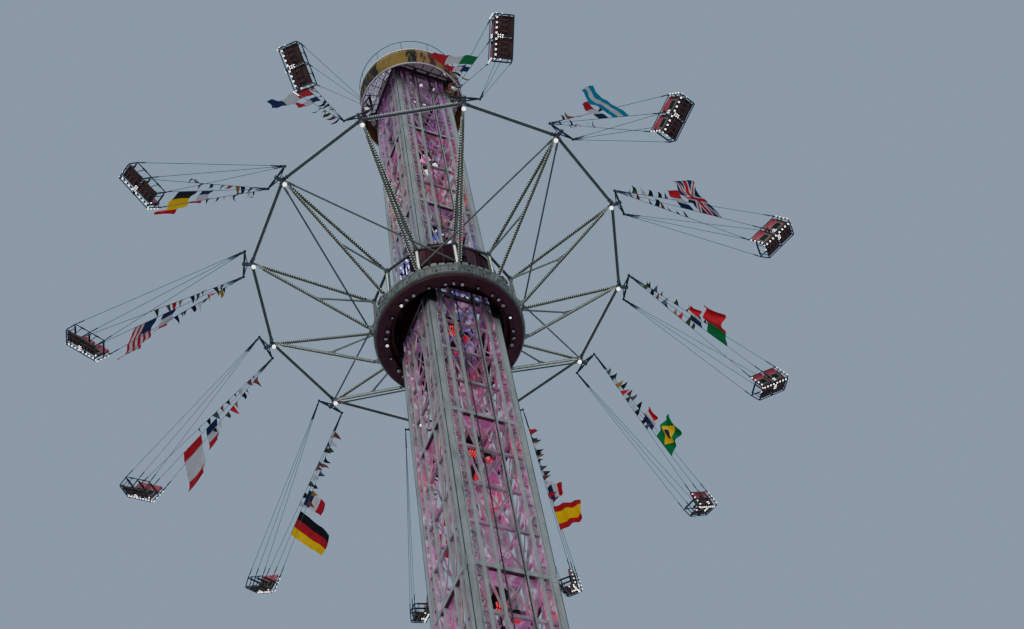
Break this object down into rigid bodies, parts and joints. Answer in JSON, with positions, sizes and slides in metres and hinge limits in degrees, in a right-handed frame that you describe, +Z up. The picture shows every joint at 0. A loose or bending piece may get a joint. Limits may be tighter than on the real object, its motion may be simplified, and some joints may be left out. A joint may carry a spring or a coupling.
{
  "type": "chair swing ride",
  "caption": "Fairground chair swing ride: a tall lattice mast with a lifting, turning wheel of arms from which pairs of seats hang on cables and fly outwards.",
  "frame": {"origin": "centre of the foot frame's flat underside on the ground, under the middle of the mast", "axes": "+Z up along the mast, -Y towards the face of the mast with the two hoist ropes, +X to its right"},
  "size_m": [10.9672, 11.0123, 28.75],
  "materials": {
    "mast_paint": "satin",
    "deck_paint": "satin",
    "fascia_panel": "satin",
    "rope_steel": "matte",
    "maroon_paint": "satin",
    "band_paint": "satin",
    "wheel_steel": "satin",
    "chair_steel": "satin",
    "seat_shell": "satin"
  },
  "bodies": {
    "mast": {"foot_frame": "mast_paint", "mast_chord_1": "mast_paint", "mast_chord_2": "mast_paint", "mast_chord_3": "mast_paint", "mast_chord_4": "mast_paint", "mast_face_front": "mast_paint", "mast_face_right": "mast_paint", "mast_face_back": "mast_paint", "mast_face_left": "mast_paint", "head_frame": "mast_paint", "top_deck": "deck_paint", "top_fascia": "fascia_panel", "top_railing": "mast_paint", "hoist_rope_left": "rope_steel", "hoist_rope_right": "rope_steel"},
    "carriage": {"carriage_drum": "maroon_paint"},
    "wheel": {"hub_band": "band_paint", "hub_soffit": "maroon_paint", "hub_frame": "wheel_steel", "rim_ring": "wheel_steel", "brace_rods": "wheel_steel", "arm_01": "wheel_steel", "arm_02": "wheel_steel", "arm_03": "wheel_steel", "arm_04": "wheel_steel", "arm_05": "wheel_steel", "arm_06": "wheel_steel", "arm_07": "wheel_steel", "arm_08": "wheel_steel", "arm_09": "wheel_steel", "arm_10": "wheel_steel", "arm_11": "wheel_steel", "arm_12": "wheel_steel"},
    "chair_01": {"chair_01_frame": "chair_steel", "chair_01_seat": "seat_shell"},
    "chair_02": {"chair_02_frame": "chair_steel", "chair_02_seat": "seat_shell"},
    "chair_03": {"chair_03_frame": "chair_steel", "chair_03_seat": "seat_shell"},
    "chair_04": {"chair_04_frame": "chair_steel", "chair_04_seat": "seat_shell"},
    "chair_05": {"chair_05_frame": "chair_steel", "chair_05_seat": "seat_shell"},
    "chair_06": {"chair_06_frame": "chair_steel", "chair_06_seat": "seat_shell"},
    "chair_07": {"chair_07_frame": "chair_steel", "chair_07_seat": "seat_shell"},
    "chair_08": {"chair_08_frame": "chair_steel", "chair_08_seat": "seat_shell"},
    "chair_09": {"chair_09_frame": "chair_steel", "chair_09_seat": "seat_shell"},
    "chair_10": {"chair_10_frame": "chair_steel", "chair_10_seat": "seat_shell"},
    "chair_11": {"chair_11_frame": "chair_steel", "chair_11_seat": "seat_shell"},
    "chair_12": {"chair_12_frame": "chair_steel", "chair_12_seat": "seat_shell"}
  },
  "joints": [
    {"name": "carriage_lift", "type": "slide", "parent": "mast", "child": "carriage", "axis": [0, 0, 1], "range_m": [-16.9, 7]},
    {"name": "wheel_spin", "type": "hinge", "parent": "carriage", "child": "wheel", "pos_m": [0, 0, 19.03], "axis": [0, 0, 1], "continuous": true},
    {"name": "chair_01_swing", "type": "hinge", "parent": "wheel", "child": "chair_01", "pos_m": [-0.78056, -3.17547, 20.685], "axis": [-0.9711, 0.2387, 0], "range_deg": [-37, 18]},
    {"name": "chair_02_swing", "type": "hinge", "parent": "wheel", "child": "chair_02", "pos_m": [0.91175, -3.14032, 20.685], "axis": [-0.9603, -0.2788, 0], "range_deg": [-33, 22]},
    {"name": "chair_03_swing", "type": "hinge", "parent": "wheel", "child": "chair_03", "pos_m": [2.35976, -2.26372, 20.685], "axis": [-0.6923, -0.7216, 0], "range_deg": [-35, 20]},
    {"name": "chair_04_swing", "type": "hinge", "parent": "wheel", "child": "chair_04", "pos_m": [3.17547, -0.78056, 20.685], "axis": [-0.2387, -0.9711, 0], "range_deg": [-32, 23]},
    {"name": "chair_05_swing", "type": "hinge", "parent": "wheel", "child": "chair_05", "pos_m": [3.14032, 0.91175, 20.685], "axis": [0.2788, -0.9603, 0], "range_deg": [-35, 20]},
    {"name": "chair_06_swing", "type": "hinge", "parent": "wheel", "child": "chair_06", "pos_m": [2.26372, 2.35976, 20.685], "axis": [0.7216, -0.6923, 0], "range_deg": [-31, 24]},
    {"name": "chair_07_swing", "type": "hinge", "parent": "wheel", "child": "chair_07", "pos_m": [0.78056, 3.17547, 20.685], "axis": [0.9711, -0.2387, 0], "range_deg": [-31, 24]},
    {"name": "chair_08_swing", "type": "hinge", "parent": "wheel", "child": "chair_08", "pos_m": [-0.91175, 3.14032, 20.685], "axis": [0.9603, 0.2788, 0], "range_deg": [-40, 15]},
    {"name": "chair_09_swing", "type": "hinge", "parent": "wheel", "child": "chair_09", "pos_m": [-2.35976, 2.26372, 20.685], "axis": [0.6923, 0.7216, 0], "range_deg": [-40, 15]},
    {"name": "chair_10_swing", "type": "hinge", "parent": "wheel", "child": "chair_10", "pos_m": [-3.17547, 0.78056, 20.685], "axis": [0.2387, 0.9711, 0], "range_deg": [-41, 14]},
    {"name": "chair_11_swing", "type": "hinge", "parent": "wheel", "child": "chair_11", "pos_m": [-3.14032, -0.91175, 20.685], "axis": [-0.2788, 0.9603, 0], "range_deg": [-39, 16]},
    {"name": "chair_12_swing", "type": "hinge", "parent": "wheel", "child": "chair_12", "pos_m": [-2.26372, -2.35976, 20.685], "axis": [-0.7216, 0.6923, 0], "range_deg": [-38, 17]}
  ]
}
